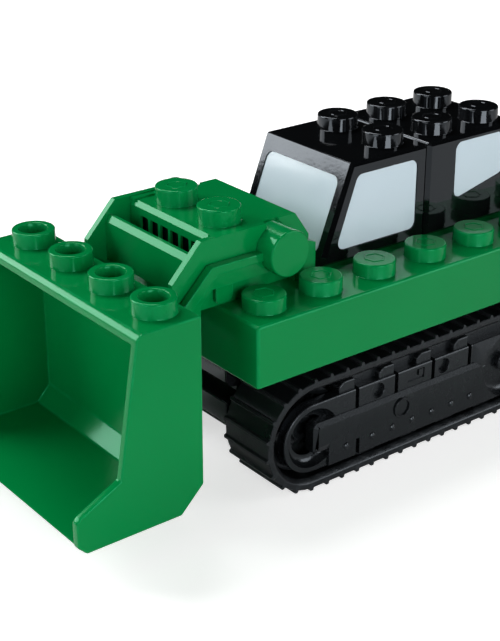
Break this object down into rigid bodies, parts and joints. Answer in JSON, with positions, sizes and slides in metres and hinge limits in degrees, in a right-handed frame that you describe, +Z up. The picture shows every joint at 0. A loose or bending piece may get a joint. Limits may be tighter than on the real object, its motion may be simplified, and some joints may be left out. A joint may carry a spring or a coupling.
{
  "type": "toy bulldozer",
  "caption": "Studded construction-brick crawler loader with a raised front bucket on hinged arms, a black cab and ribbed tracks.",
  "frame": {"origin": "on the ground, under the middle of the object's box", "axes": "+X to the vehicle's left side, -Y to the front where the bucket is, +Z up"},
  "size_m": [0.0318, 0.1028, 0.0363],
  "materials": {
    "green_plastic": "polished green moulded plastic",
    "black_plastic": "polished black moulded plastic",
    "track_plastic": "satin black moulded plastic",
    "track_belt": "satin black ribbed belt",
    "window_print": "pale blue gloss inlay"
  },
  "bodies": {
    "chassis": {"main_body": "green_plastic", "chassis_frame": "black_plastic", "track_frame_right": "track_plastic", "track_frame_left": "track_plastic", "track_belt_right": "track_belt", "track_belt_left": "track_belt", "cab_front": "black_plastic", "cab_rear": "black_plastic", "windshield": "window_print", "rear_window": "window_print", "front_side_window_right": "window_print", "front_side_window_left": "window_print", "rear_side_window_right": "window_print", "rear_side_window_left": "window_print", "hood": "green_plastic", "arm_pivot_pin": "black_plastic"},
    "loader_arms": {"loader_arm_right": "green_plastic", "loader_arm_left": "green_plastic", "bucket_hinge_pin": "black_plastic"},
    "bucket": {"bucket": "green_plastic"},
    "front_wheels": {"front_axle": "track_plastic", "front_wheel_right": "track_plastic", "front_wheel_left": "track_plastic"},
    "rear_wheels": {"rear_axle": "track_plastic", "rear_wheel_right": "track_plastic", "rear_wheel_left": "track_plastic"}
  },
  "joints": [
    {"name": "arm_lift", "type": "hinge", "parent": "chassis", "child": "loader_arms", "pos_m": [0, -0.02023, 0.02754], "axis": [-1, 0, 0], "range_deg": [-2, 55]},
    {"name": "bucket_tilt", "type": "hinge", "parent": "loader_arms", "child": "bucket", "pos_m": [0, -0.03299, 0.01802], "axis": [1, 0, 0], "range_deg": [-4, 35]},
    {"name": "front_wheels_spin", "type": "hinge", "parent": "chassis", "child": "front_wheels", "pos_m": [0, -0.0202, 0.00709], "axis": [1, 0, 0], "continuous": true},
    {"name": "rear_wheels_spin", "type": "hinge", "parent": "chassis", "child": "rear_wheels", "pos_m": [0, 0.04315, 0.00709], "axis": [1, 0, 0], "continuous": true}
  ],
  "couplings": [
    {"joint": "rear_wheels_spin", "follows": "front_wheels_spin", "ratio": 1}
  ]
}
